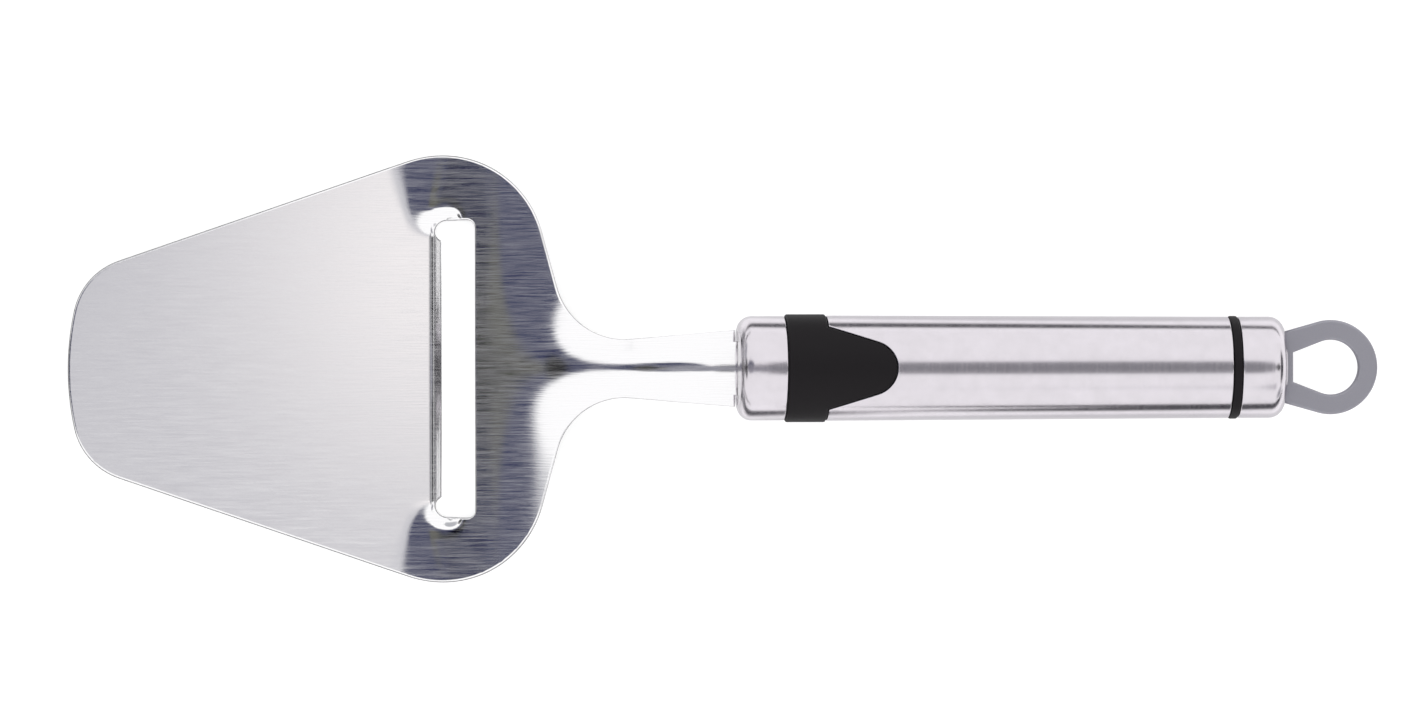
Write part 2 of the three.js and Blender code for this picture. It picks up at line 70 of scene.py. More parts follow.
pixel = (cad_high.x - cad_low.x) / (LOOP_END_PIXEL - TIP_PIXEL)
camera_data = bpy.data.cameras.new("camera")
camera_data.lens = LENS
camera_data.sensor_width = SENSOR_WIDTH
camera_data.clip_end = FAR_CLIP
camera = bpy.data.objects.new("camera", camera_data)
camera.location.x = cad_low.x + (PHOTO_WIDTH / 2 - TIP_PIXEL) * pixel
camera.location.y = (MIDDLE_LINE_PIXEL - PHOTO_HEIGHT / 2) * pixel
camera.location.z = LENS / SENSOR_WIDTH * PHOTO_WIDTH * pixel + (cad_low.z + cad_high.z) / 2
camera.rotation_euler.z = CAMERA_ROLL
bpy.context.scene.collection.objects.link(camera)
bpy.context.scene.camera = camera
bpy.context.scene.view_settings.view_transform = "Standard"

# Slicer plate: one sheet of stainless steel, blanked with its slot, pressed into blade, lip and neck.
# Its edges are tumbled round, its cutting edge is ground from below, and its top is brushed lengthwise.
MM = 0.001
SHEET_THICKNESS = 1.2 * MM
SHEET_EDGE = 0.3 * MM
TIP_RADIUS = 53 * MM
TIP_CORNER_RADIUS = 13 * MM
FLANK_ANGLE = math.radians(19)
BLADE_WIDTH = 81.6 * MM
WIDEST_STATION = 71.2 * MM
SHOULDER_RADIUS = 20 * MM
SIDE_NORMAL_ANGLE = math.radians(15)
NECK_FILLET_RADIUS = 13.3 * MM
NECK_WIDTH = 11 * MM
NECK_END_WIDTH = 14.4 * MM
NECK_END_GAP = 0.35 * MM
BLADE_REACH = 127.6 * MM
TANG_WIDTH = 10 * MM
TANG_LENGTH = 26 * MM
EDGE_STATION = 71.2 * MM
SLOT_OPENING = 6.3 * MM
SLOT_LENGTH = 56.8 * MM
SLOT_CORNER_RADIUS = 1.5 * MM
RELIEF_RADIUS = 2.05 * MM
RELIEF_DEPTH = 1.1 * MM
BLADE_SLOPE = math.tan(math.radians(5))
REAR_SLOPE = math.tan(math.radians(17))
LIP_SLOPE = math.tan(math.radians(35))
CREASE_SETBACK = 4.7 * MM
CREASE_LENGTH = 4.4 * MM
CREASE_OPENING = 8 * MM
LIP_LENGTH = 1.9 * MM
LIP_BEND_LENGTH = 0.8 * MM
LIP_BEVEL_LENGTH = 1.1 * MM
CUTTING_EDGE_THICKNESS = 0.2 * MM
TONGUE_LENGTH = 50 * MM
TONGUE_SIDE_WIDTH = 6 * MM
TONGUE_RUN_OUT = 3.4 * MM
ROLL_LENGTH = 26 * MM
ROLL_WIDTH = 12 * MM
NECK_ROLL_RADIUS = 7.6 * MM
NECK_SWEEP_LENGTH = 16 * MM
NECK_STRAIGHT_LENGTH = 4 * MM
HANDLE_TILT = math.radians(5)
TANG_CREST_HEIGHT = 1.3 * MM
HANDLE_LENGTH = 104.5 * MM
REAR_CAP_RADIUS = 9.65 * MM
REAR_CAP_EDGE = 2.85 * MM
OUTLINE_OVERLAP = 2 * MM
SNAP = 0.02 * MM
TOUCHING = 1e-7
MIDDLE_MERGE = 1e-6
RIM_MERGE = 0.5e-6
GRAIN_HEIGHT = 0.02 * MM

tip_place = Vector((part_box("slicer_plate")[0].x, 0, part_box("rear_cap")[0].z))
handle_height = (
    (HANDLE_LENGTH - REAR_CAP_EDGE) * math.sin(HANDLE_TILT)
    + (REAR_CAP_RADIUS - REAR_CAP_EDGE) * math.cos(HANDLE_TILT)
    + REAR_CAP_EDGE
)
handle_front = tip_place + Vector((BLADE_REACH, 0, handle_height))
handle_place = Matrix.Translation(handle_front) @ Matrix.Rotation(HANDLE_TILT, 4, "Y")


def start_outline(bm, x, y):
    return bm.verts.new((x, y, 0))


def line_to(bm, vert, x, y):
    end = bm.verts.new((x, y, 0))
    bm.edges.new((vert, end))
    return end


def arc_round(bm, vert, centre, angle, steps):
    """Carries an outline on round a centre, counter-clockwise for a positive angle."""
    turned = bmesh.ops.spin(
        bm, geom=[vert], cent=(*centre, 0), axis=(0, 0, 1), angle=angle, steps=steps
    )
    return next(v for v in turned["geom_last"] if isinstance(v, bmesh.types.BMVert))


def everything(bm):
    return bm.verts[:] + bm.edges[:] + bm.faces[:]


def cut_lines(bm, normal, places):
    """Cuts the sheet along straight lines, so that it can bend there."""
    for place in places:
        bmesh.ops.bisect_plane(
            bm, geom=everything(bm), dist=SNAP, plane_co=normal * place, plane_no=normal
        )


def cut_off(bm, place, outward):
    """Cuts the sheet along a straight line and takes away what lies beyond it."""
    bmesh.ops.bisect_plane(
        bm, geom=everything(bm), dist=TOUCHING, plane_co=place, plane_no=outward, clear_outer=True
    )


def spaced(start, end, step):
    count = max(1, round((end - start) / step))
    return [start + (end - start) * i / count for i in range(count + 1)]


def formed_sheet(bm, edge_radius, lines_along, lines_across, far_side, form):
    """Makes a sheet from half its flat outline, which overlaps the middle line y = 0.

    The outline's rim is rounded, the sheet is cut along a grid of lines and mirrored, and form(x, y, depth)
    then places each point, with a depth from 0 on the upper side to 1 on the lower one. far_side is where
    the half sheet ends, if it goes round to meet its mirror image there.
    """
    face = bmesh.ops.contextual_create(bm, geom=bm.edges[:])["faces"][0]
    bm.normal_update()
    rim = bm.verts.layers.float.new("rim")
    for vert in bm.verts:
        vert[rim] = 1
    reached = 0
    for turn in (30, 60, 90):
        inset = edge_radius * (1 - math.cos(math.radians(turn)))
        bmesh.ops.inset_region(
            bm, faces=[face], thickness=inset - reached, use_boundary=True, use_even_offset=True
        )
        reached = inset
        for vert in face.verts:
            vert[rim] = 1 - math.sin(math.radians(turn))
    bmesh.ops.inset_region(
        bm, faces=[face], thickness=edge_radius / 2, use_boundary=True, use_even_offset=True
    )
    cut_off(bm, (0, 0, 0), (0, -1, 0))
    if far_side:
        cut_off(bm, (0, far_side, 0), (0, 1, 0))
    cut_lines(bm, Vector((1, 0, 0)), lines_along)
    cut_lines(bm, Vector((0, 1, 0)), lines_across)
    bmesh.ops.remove_doubles(bm, verts=bm.verts, dist=SNAP)
    bmesh.ops.mirror(bm, geom=everything(bm), axis="Y", merge_dist=MIDDLE_MERGE)
    upper = bm.verts[:]
    under = [
        v
        for v in bmesh.ops.duplicate(bm, geom=everything(bm))["geom"]
        if isinstance(v, bmesh.types.BMVert)
    ]
    for verts, far_skin in ((upper, False), (under, True)):
        for vert in verts:
            depth = 1 - vert[rim] / 2 if far_skin else vert[rim] / 2
            vert.co = form(vert.co.x, vert.co.y, depth)
    bmesh.ops.remove_doubles(bm, verts=bm.verts, dist=RIM_MERGE)
    bmesh.ops.recalc_face_normals(bm, faces=bm.faces)


def piece_of(bm, name, node, material):
    """Makes a smooth object of a mesh, in place of its solid."""
    for face in bm.faces:
        face.smooth = True
    mesh = bpy.data.meshes.new(name)
    bm.to_mesh(mesh)
    bm.free()
    mesh.materials.append(material)
    piece = bpy.data.objects.new(name, mesh)
    bpy.context.scene.collection.objects.link(piece)
    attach(piece, "root")
    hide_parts(node)


shoulder = Vector((WIDEST_STATION, BLADE_WIDTH / 2 - SHOULDER_RADIUS))
flank_normal = Vector((-math.sin(FLANK_ANGLE), math.cos(FLANK_ANGLE)))
flank_reach = flank_normal.dot(shoulder) + SHOULDER_RADIUS
corner_depth = flank_reach - TIP_CORNER_RADIUS + TIP_RADIUS * math.sin(FLANK_ANGLE)
corner_spread = TIP_RADIUS - TIP_CORNER_RADIUS
corner_angle = math.pi + FLANK_ANGLE - math.asin(corner_depth / corner_spread)
corner = Vector(
    (TIP_RADIUS + corner_spread * math.cos(corner_angle), corner_spread * math.sin(corner_angle))
)
side_normal = Vector((math.cos(SIDE_NORMAL_ANGLE), math.sin(SIDE_NORMAL_ANGLE)))
fillet_height = NECK_WIDTH / 2 + NECK_FILLET_RADIUS
fillet_reach = side_normal.dot(shoulder) + SHOULDER_RADIUS + NECK_FILLET_RADIUS
neck_start = (fillet_reach - side_normal.y * fillet_height) / side_normal.x
neck_end = BLADE_REACH - NECK_END_GAP
tang_end = BLADE_REACH + TANG_LENGTH * math.cos(HANDLE_TILT)
slot_rear = EDGE_STATION + SLOT_OPENING


def half_plate_outline(bm):
    """Draws half the flat blank: round the blade and the tang, and back along the slot."""
    flank_side = math.pi / 2 + FLANK_ANGLE
    relief = Vector((EDGE_STATION - RELIEF_DEPTH + RELIEF_RADIUS, SLOT_LENGTH / 2 - RELIEF_RADIUS))
    edge_meets = math.pi + math.acos((relief.x - EDGE_STATION) / RELIEF_RADIUS)
    rear_corner = Vector((slot_rear - SLOT_CORNER_RADIUS, SLOT_LENGTH / 2 - SLOT_CORNER_RADIUS))
    flank_end = shoulder + flank_normal * SHOULDER_RADIUS
    fillet = Vector((neck_start, fillet_height))
    side_end = fillet - side_normal * NECK_FILLET_RADIUS
    first = start_outline(bm, 0, -OUTLINE_OVERLAP)
    last = line_to(bm, first, 0, 0)
    last = arc_round(bm, last, (TIP_RADIUS, 0), corner_angle - math.pi, steps=16)
    last = arc_round(bm, last, corner, flank_side - corner_angle, steps=16)
    last = line_to(bm, last, *flank_end)
    last = arc_round(bm, last, shoulder, SIDE_NORMAL_ANGLE - flank_side, steps=40)
    last = line_to(bm, last, *side_end)
    last = arc_round(bm, last, fillet, math.pi / 2 - SIDE_NORMAL_ANGLE, steps=24)
    last = line_to(bm, last, neck_end, NECK_END_WIDTH / 2)
    last = line_to(bm, last, neck_end, TANG_WIDTH / 2)
    last = line_to(bm, last, tang_end, TANG_WIDTH / 2)
    last = line_to(bm, last, tang_end, -OUTLINE_OVERLAP)
    last = line_to(bm, last, slot_rear, -OUTLINE_OVERLAP)
    last = line_to(bm, last, slot_rear, rear_corner.y)
    last = arc_round(bm, last, rear_corner, math.pi / 2, steps=8)
    last = line_to(bm, last, relief.x, SLOT_LENGTH / 2)
    last = arc_round(bm, last, relief, edge_meets - math.pi / 2, steps=16)
    last = line_to(bm, last, EDGE_STATION, -OUTLINE_OVERLAP)
    bm.edges.new((last, first))


def smoothstep(value, start, end):
    share = min(1, max(0, (value - start) / (end - start)))
    return share * share * (3 - 2 * share)


def bend(distance, length):
    """Rounded bend of a straight line: nothing before it, one to one after it."""
    if distance <= -length / 2:
        return 0
    return distance if distance >= length / 2 else (distance + length / 2) ** 2 / (2 * length)


crease_station = EDGE_STATION - CREASE_SETBACK
lip_station = EDGE_STATION - LIP_LENGTH
lip_over = EDGE_STATION + LIP_BEND_LENGTH
crease_height = (
    (CREASE_SETBACK - LIP_LENGTH) * BLADE_SLOPE + LIP_LENGTH * LIP_SLOPE + CUTTING_EDGE_THICKNESS
)
sweep_start = neck_start - NECK_SWEEP_LENGTH
sweep_end = BLADE_REACH - NECK_STRAIGHT_LENGTH
tang_slope = -math.tan(HANDLE_TILT)
tang_height = handle_height + TANG_CREST_HEIGHT / math.cos(HANDLE_TILT)


def shoulder_height(x, crease_length):
    beyond = x - crease_station
    return crease_height - BLADE_SLOPE * beyond + (BLADE_SLOPE + REAR_SLOPE) * bend(beyond, crease_length)


def tongue_height(x):
    reach = min(x, lip_over)
    lip_drop = (LIP_SLOPE - BLADE_SLOPE) * bend(reach - lip_station, LIP_BEND_LENGTH)
    return crease_height - BLADE_SLOPE * (reach - crease_station) - lip_drop


def middle_height(x, crease_length):
    """Middle line of the plate: the shoulders' slope, a sweep up to the neck's crest, and the tang."""
    if x <= sweep_start:
        return shoulder_height(x, crease_length)
    if x >= sweep_end:
        return tang_height + tang_slope * (x - BLADE_REACH)
    run = sweep_end - sweep_start
    t = (x - sweep_start) / run
    low = shoulder_height(sweep_start, crease_length)
    high = tang_height + tang_slope * (sweep_end - BLADE_REACH)
    rise = low + (high - low) * smoothstep(x, sweep_start, sweep_end)
    return rise + run * REAR_SLOPE * t * (1 - t) ** 2 + run * tang_slope * t * t * (t - 1)


def tongue_share(x, y):
    inside = TONGUE_LENGTH / 2
    across = 1 - smoothstep(abs(y), inside, inside + TONGUE_SIDE_WIDTH)
    return across * (1 - smoothstep(x, lip_over, lip_over + TONGUE_RUN_OUT))


def sheet_height(x, y):
    """Upper side of the plate, with a pressed tongue, a rolled neck and a crease that opens sideways."""
    pressed = tongue_share(x, y)
    rolled = min(1, max(0, (x - neck_start + ROLL_LENGTH) / ROLL_LENGTH))
    reach = ROLL_WIDTH * math.tanh(y / ROLL_WIDTH)
    roll_drop = (rolled * reach) ** 2 / (2 * NECK_ROLL_RADIUS)
    opened = CREASE_OPENING * smoothstep(abs(y), TONGUE_LENGTH / 2, BLADE_WIDTH / 2)
    middle = middle_height(x, CREASE_LENGTH + opened)
    return middle + (tongue_height(x) - middle) * pressed - roll_drop


def pressed_plate(x, y, depth):
    """Where a point of the flat blank goes when the plate is pressed."""
    step = 0.01 * MM
    slope_x = (sheet_height(x + step, y) - sheet_height(x - step, y)) / (2 * step)
    slope_y = (sheet_height(x, y + step) - sheet_height(x, y - step)) / (2 * step)
    ground = min(1, max(0, (x - EDGE_STATION + LIP_BEVEL_LENGTH) / LIP_BEVEL_LENGTH))
    thickness = SHEET_THICKNESS - (SHEET_THICKNESS - CUTTING_EDGE_THICKNESS) * ground * tongue_share(x, y)
    normal = Vector((-slope_x, -slope_y, 1)).normalized()
    slide = normal.y * thickness / 2
    upper = Vector((x, y + slide, sheet_height(x, y) + slope_y * slide))
    return tip_place + upper - normal * thickness * depth


def grained_finish(name, grain, gloss, relief=0):
    """Starts a finish whose gloss follows a noise, with so many grains a metre along X, Y and Z.

    The roughness runs from the first to the second value of gloss. A relief above 0 adds a bump.
    """
    material = bpy.data.materials.new(name)
    material.use_nodes = True
    nodes = material.node_tree.nodes
    links = material.node_tree.links
    shader = nodes["Principled BSDF"]
    place = nodes.new("ShaderNodeTexCoord")
    stretch = nodes.new("ShaderNodeMapping")
    stretch.inputs["Scale"].default_value = grain
    noise = nodes.new("ShaderNodeTexNoise")
    noise.inputs["Scale"].default_value = 1
    shine = nodes.new("ShaderNodeMapRange")
    shine.inputs["To Min"].default_value = gloss[0]
    shine.inputs["To Max"].default_value = gloss[1]
    links.new(place.outputs["Object"], stretch.inputs["Vector"])
    links.new(stretch.outputs["Vector"], noise.inputs["Vector"])
    links.new(noise.outputs["Fac"], shine.inputs["Value"])
    links.new(shine.outputs["Result"], shader.inputs["Roughness"])
    if relief > 0:
        bump = nodes.new("ShaderNodeBump")
        bump.inputs["Strength"].default_value = relief
        bump.inputs["Distance"].default_value = GRAIN_HEIGHT
        links.new(noise.outputs["Fac"], bump.inputs["Height"])
        links.new(bump.outputs["Normal"], shader.inputs["Normal"])
    return material


def brushed_blade_steel():
    """Bright stainless steel with fine brush lines along the blade, which dull it where they are deep."""
    material = grained_finish("brushed_blade_steel", (140, 3800, 140), (0.06, 0.14), relief=0.2)
    nodes = material.node_tree.nodes
    links = material.node_tree.links
    shader = nodes["Principled BSDF"]
    shader.inputs["Base Color"].default_value = (0.82, 0.815, 0.825, 1)
    lines = nodes["Noise Texture"]
    lines.inputs["Detail"].default_value = 4
    lines.inputs["Roughness"].default_value = 0.6
    dulled = nodes.new("ShaderNodeMapRange")
    dulled.inputs["To Min"].default_value = 1
    dulled.inputs["To Max"].default_value = 0.82
    for part in (nodes["Map Range"], dulled):
        part.inputs["From Min"].default_value = 0.35
        part.inputs["From Max"].default_value = 0.7
    links.new(lines.outputs["Fac"], dulled.inputs["Value"])
    links.new(dulled.outputs["Result"], shader.inputs["Metallic"])
    return material


bm = bmesh.new()
half_plate_outline(bm)
lines_along = [
    *spaced(5 * MM, 55 * MM, 10 * MM),
    *spaced(crease_station - 2 * CREASE_LENGTH, lip_station - LIP_BEND_LENGTH / 2, 0.4 * MM),
    *spaced(lip_station - LIP_BEND_LENGTH / 2, lip_station + LIP_BEND_LENGTH / 2, 0.16 * MM),
    *spaced(lip_station + LIP_BEND_LENGTH / 2, EDGE_STATION, 0.3 * MM),
    *spaced(EDGE_STATION, slot_rear, 0.5 * MM),
    *spaced(slot_rear, BLADE_REACH, 1 * MM),
    *spaced(BLADE_REACH, tang_end, 5 * MM),
]
lines_across = [
    *spaced(0, NECK_END_WIDTH / 2, 0.6 * MM),
    *spaced(NECK_END_WIDTH / 2, TONGUE_LENGTH / 2, 1.2 * MM),
    *spaced(TONGUE_LENGTH / 2, TONGUE_LENGTH / 2 + TONGUE_SIDE_WIDTH, 0.5 * MM),
    *spaced(TONGUE_LENGTH / 2 + TONGUE_SIDE_WIDTH, BLADE_WIDTH / 2, 2 * MM),
]
formed_sheet(bm, SHEET_EDGE, lines_along, lines_across, None, pressed_plate)
piece_of(bm, "pressed_slicer_plate", "slicer_plate", brushed_blade_steel())

# Front cap: a cup drawn from thin steel, satin finished on a lathe, with a slot for the blade's tang.
# It closes the front of the handle and hides the plug that holds the tang.
FIT_GAP = 0.3 * MM
STEEL_WALL = 0.8 * MM
FRONT_CAP_RADIUS = 9.9 * MM
FRONT_CAP_LENGTH = 9 * MM
FRONT_CAP_EDGE = 2.65 * MM
CUP_MOUTH_EDGE = 0.35 * MM
TURN_STEPS = 128


def rounded(station, radius, edge, start, end):
    """Profile points of a rounded edge, as station and radius, from one angle to another in degrees."""
    steps = 8
    angles = [math.radians(start + (end - start) * i / steps) for i in range(steps + 1)]
    return [(station + edge * math.cos(a), radius + edge * math.sin(a)) for a in angles]


def turn_profile(bm, profile, closed):
    """Turns a profile of stations and radii round the handle's axis."""
    verts = [bm.verts.new((station, 0, radius)) for station, radius in profile]
    edges = [bm.edges.new(pair) for pair in zip(verts, verts[1:])]
    if closed:
        edges.append(bm.edges.new((verts[-1], verts[0])))
    bmesh.ops.spin(
        bm,
        geom=verts + edges,
        cent=(0, 0, 0),
        axis=(1, 0, 0),
        angle=math.tau,
        steps=TURN_STEPS,
        use_merge=True,
    )
    bmesh.ops.remove_doubles(bm, verts=bm.verts, dist=TOUCHING)
    bmesh.ops.recalc_face_normals(bm, faces=bm.faces)


def at_front(item):
    return all(abs(vert.co.x) < TOUCHING for vert in item.verts)


def drawn_cup(bm, radius, length, edge, slot_width, slot_low, slot_high):
    """A cup with its closed face at station 0 and its mouth towards +X, with a slot through the face."""
    mouth = CUP_MOUTH_EDGE
    profile = [
        (0, radius - edge - mouth),
        *rounded(edge, radius - edge, edge, 180, 90),
        *rounded(length - mouth, radius - mouth, mouth, 90, 0),
    ]
    turn_profile(bm, profile, closed=False)
    ring = [border for border in bm.edges if border.is_boundary and at_front(border)]
    bmesh.ops.contextual_create(bm, geom=ring)
    slot_sides = (
        (Vector((0, 1, 0)), slot_width / 2),
        (Vector((0, 1, 0)), -slot_width / 2),
        (Vector((0, 0, 1)), slot_low),
        (Vector((0, 0, 1)), slot_high),
    )
    for normal, place in slot_sides:
        front = [face for face in bm.faces if at_front(face)]
        borders = [item for face in front for item in (*face.edges, *face.verts)]
        geom = list(dict.fromkeys(front + borders))
        bmesh.ops.bisect_plane(bm, geom=geom, dist=TOUCHING, plane_co=normal * place, plane_no=normal)
    slot_middle = Vector((0, (slot_low + slot_high) / 2))
    front = [face for face in bm.faces if at_front(face)]
    slot_face = min(front, key=lambda face: (face.calc_center_bounds().yz - slot_middle).length)
    bmesh.ops.delete(bm, geom=[slot_face], context="FACES")
    bmesh.ops.recalc_face_normals(bm, faces=bm.faces)
    outward = max(bm.faces, key=lambda face: face.calc_center_median().yz.length)
    if outward.normal.yz.dot(outward.calc_center_median().yz) < 0:
        bmesh.ops.reverse_faces(bm, faces=bm.faces)
    bmesh.ops.solidify(bm, geom=bm.faces[:], thickness=STEEL_WALL)


def satin_handle_steel():
    """Stainless steel with a fine satin turned round the handle, faintly clouded."""
    material = grained_finish("satin_handle_steel", (2600, 60, 60), (0.12, 0.26), relief=0.3)
    nodes = material.node_tree.nodes
    links = material.node_tree.links
    shader = nodes["Principled BSDF"]
    shader.inputs["Metallic"].default_value = 1
    nodes["Mapping"].inputs["Rotation"].default_value = (0, -HANDLE_TILT, 0)
    nodes["Noise Texture"].inputs["Detail"].default_value = 4
    nodes["Noise Texture"].inputs["Roughness"].default_value = 0.6
    clouds = nodes.new("ShaderNodeTexNoise")
    clouds.inputs["Scale"].default_value = 320
    clouds.inputs["Detail"].default_value = 3
    tone = nodes.new("ShaderNodeMix")
    tone.data_type = "RGBA"
    tone.inputs["A"].default_value = (0.60, 0.57, 0.605, 1)
    tone.inputs["B"].default_value = (0.69, 0.655, 0.70, 1)
    links.new(nodes["Texture Coordinate"].outputs["Object"], clouds.inputs["Vector"])
    links.new(clouds.outputs["Fac"], tone.inputs["Factor"])
    links.new(tone.outputs["Result"], shader.inputs["Base Color"])
    return material


satin_steel = satin_handle_steel()
tang_drop = (ROLL_WIDTH * math.tanh(TANG_WIDTH / 2 / ROLL_WIDTH)) ** 2 / (2 * NECK_ROLL_RADIUS)
bm = bmesh.new()
drawn_cup(
    bm,
    FRONT_CAP_RADIUS,
    FRONT_CAP_LENGTH,
    FRONT_CAP_EDGE,
    slot_width=TANG_WIDTH + FIT_GAP,
    slot_low=TANG_CREST_HEIGHT - tang_drop - SHEET_THICKNESS - FIT_GAP,
    slot_high=TANG_CREST_HEIGHT + FIT_GAP,
)
bm.transform(handle_place)
piece_of(bm, "drawn_front_cap", "front_cap", satin_steel)

# Cores and cross pins: moulded plugs in the handle, and drawn steel pins that lock tang and loop in them.
# Nothing of them shows, so their solids stay as they are, in plain moulded plastic and drawn steel.


def moulded_core_plastic():
    """Grey moulded plastic with a faint grain."""
    material = grained_finish("moulded_core_plastic", (900, 900, 900), (0.45, 0.65))
    shader = material.node_tree.nodes["Principled BSDF"]
    shader.inputs["Base Color"].default_value = (0.16, 0.17, 0.18, 1)
    return material


def drawn_pin_steel():
    """Drawn steel wire with lines along the pin."""
    material = grained_finish("drawn_pin_steel", (2000, 2000, 60), (0.2, 0.4))
    shader = material.node_tree.nodes["Principled BSDF"]
    shader.inputs["Base Color"].default_value = (0.60, 0.60, 0.61, 1)
    shader.inputs["Metallic"].default_value = 1
    return material


core_plastic = moulded_core_plastic()
pin_steel = drawn_pin_steel()
for node, material in (
    ("front_core", core_plastic),
    ("rear_core", core_plastic),
    ("tang_pin", pin_steel),
    ("loop_pin", pin_steel),
):
    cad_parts[node].data.materials.clear()
    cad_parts[node].data.materials.append(material)

# Thumb collar: one black moulding, a ring round the handle with a tongue on top where the thumb presses.
# It is slipped over the front plug, and its tongue fills the cut-out in the tube's front.
COLLAR_RADIUS = 10.25 * MM
COLLAR_LENGTH = 7.5 * MM
COLLAR_WALL = 1.1 * MM
COLLAR_EDGE = 0.35 * MM
THUMB_PAD_LENGTH = 12.8 * MM
THUMB_PAD_WIDTH = 15.8 * MM
THUMB_PAD_TIP_RADIUS = 5.2 * MM
SEAM_GAP = 0.1 * MM
PAD_SIDE_STEPS = 8
PAD_TIP_STEPS = 16
HALF_TURN_STEPS = 48

collar_start = FRONT_CAP_LENGTH + FIT_GAP
collar_end = collar_start + COLLAR_LENGTH
pad_tip = collar_end + THUMB_PAD_LENGTH - THUMB_PAD_TIP_RADIUS


def round_handle(radius, y):
    """How far round the handle a point lies that is seen from above at y."""
    return radius * math.asin(y / radius)


def pad_side(bm, last, radius, gap, towards_tip):
    """Carries a flat outline along a side of the thumb pad, which from above is straight and then round."""
    root = Vector((collar_end, THUMB_PAD_WIDTH / 2 + gap))
    tip_radius = THUMB_PAD_TIP_RADIUS + gap
    to_root = root - Vector((pad_tip, 0))
    touch = math.atan2(to_root.y, to_root.x) - math.acos(tip_radius / to_root.length)

    def round_tip(angle):
        return Vector((pad_tip + tip_radius * math.cos(angle), tip_radius * math.sin(angle)))

    points = [root.lerp(round_tip(touch), i / PAD_SIDE_STEPS) for i in range(PAD_SIDE_STEPS + 1)]
    points += [round_tip(touch * i / PAD_TIP_STEPS) for i in reversed(range(PAD_TIP_STEPS))]
    for point in points if towards_tip else reversed(points):
        last = line_to(bm, last, point.x, round_handle(radius, point.y))
    return last


def rolled_sheet(front_radius, rear_radius, wall, start, end):
    """Rolls a flat sheet round the handle's axis, with a taper from one end to the other."""

    def form(x, y, depth):
        share = (x - start) / (end - start)
        radius = front_radius + (rear_radius - front_radius) * share
        turn = y / front_radius
        inner = radius - wall * depth
        return handle_place @ Vector((x, inner * math.sin(turn), inner * math.cos(turn)))

    return form


def black_moulding():
    """Black moulded plastic, matt, with a fine spark-eroded grain."""
    material = grained_finish("black_moulding", (5000, 5000, 5000), (0.45, 0.65), relief=0.2)
    nodes = material.node_tree.nodes
    nodes["Noise Texture"].inputs["Detail"].default_value = 3
    shader = nodes["Principled BSDF"]
    shader.inputs["Base Color"].default_value = (0.0075, 0.006, 0.0075, 1)
    shader.inputs["Specular IOR Level"].default_value = 0.15
    return material


black_plastic = black_moulding()
half_turn = math.pi * COLLAR_RADIUS
collar_front = collar_start - FIT_GAP + SEAM_GAP
bm = bmesh.new()
first = start_outline(bm, collar_front, -OUTLINE_OVERLAP)
last = line_to(bm, first, collar_front, half_turn + OUTLINE_OVERLAP)
last = line_to(bm, last, collar_end, half_turn + OUTLINE_OVERLAP)
last = pad_side(bm, last, COLLAR_RADIUS, 0, towards_tip=True)
last = line_to(bm, last, last.co.x, -OUTLINE_OVERLAP)
bm.edges.new((last, first))
collar_form = rolled_sheet(COLLAR_RADIUS, COLLAR_RADIUS, COLLAR_WALL, 0, HANDLE_LENGTH)
turns = spaced(0, half_turn, half_turn / HALF_TURN_STEPS)
formed_sheet(bm, COLLAR_EDGE, spaced(collar_front, pad_tip, 2 * MM), turns, half_turn, collar_form)
piece_of(bm, "moulded_thumb_collar", "thumb_collar", black_plastic)

# Handle tube: thin stainless steel, rolled and welded, slightly tapered to the rear and satin finished.
# Its front is cut out round the thumb pad. It sits on the plugs and is glued to them.
TUBE_FRONT_RADIUS = 10 * MM
TUBE_REAR_RADIUS = 9.65 * MM
TUBE_LENGTH = 76.6 * MM
TUBE_EDGE = 0.2 * MM

tube_start = collar_end + SEAM_GAP
tube_end = collar_end + FIT_GAP + TUBE_LENGTH + FIT_GAP - SEAM_GAP
half_turn = math.pi * TUBE_FRONT_RADIUS
bm = bmesh.new()
pad_end = pad_tip + THUMB_PAD_TIP_RADIUS + SEAM_GAP
first = start_outline(bm, pad_end, -OUTLINE_OVERLAP)
last = pad_side(bm, first, TUBE_FRONT_RADIUS, SEAM_GAP, towards_tip=False)
last.co.x = tube_start
last = line_to(bm, last, tube_start, half_turn + OUTLINE_OVERLAP)
last = line_to(bm, last, tube_end, half_turn + OUTLINE_OVERLAP)
last = line_to(bm, last, tube_end, -OUTLINE_OVERLAP)
bm.edges.new((last, first))
tube_form = rolled_sheet(TUBE_FRONT_RADIUS, TUBE_REAR_RADIUS, STEEL_WALL, tube_start, tube_end)
turns = spaced(0, half_turn, half_turn / HALF_TURN_STEPS)
formed_sheet(bm, TUBE_EDGE, spaced(tube_start, tube_end, 3 * MM), turns, half_turn, tube_form)
piece_of(bm, "rolled_handle_tube", "handle_tube", satin_steel)

# Seal ring: a thin ring of the collar's black plastic, moulded with rounded edges.
# It is squeezed between the tube and the rear cap and closes the joint.
SEAL_RADIUS = 9.8 * MM
SEAL_INNER_RADIUS = 8.85 * MM
SEAL_LENGTH = 1.5 * MM
SEAL_EDGE = 0.3 * MM

seal_start = tube_end + SEAM_GAP
seal_end = seal_start + SEAL_LENGTH
bm = bmesh.new()
profile = [
    (seal_start, SEAL_INNER_RADIUS),
    *rounded(seal_start + SEAL_EDGE, SEAL_RADIUS - SEAL_EDGE, SEAL_EDGE, 180, 90),
    *rounded(seal_end - SEAL_EDGE, SEAL_RADIUS - SEAL_EDGE, SEAL_EDGE, 90, 0),
    (seal_end, SEAL_INNER_RADIUS),
]
turn_profile(bm, profile, closed=True)
bm.transform(handle_place)
piece_of(bm, "moulded_seal_ring", "seal_ring", black_plastic)

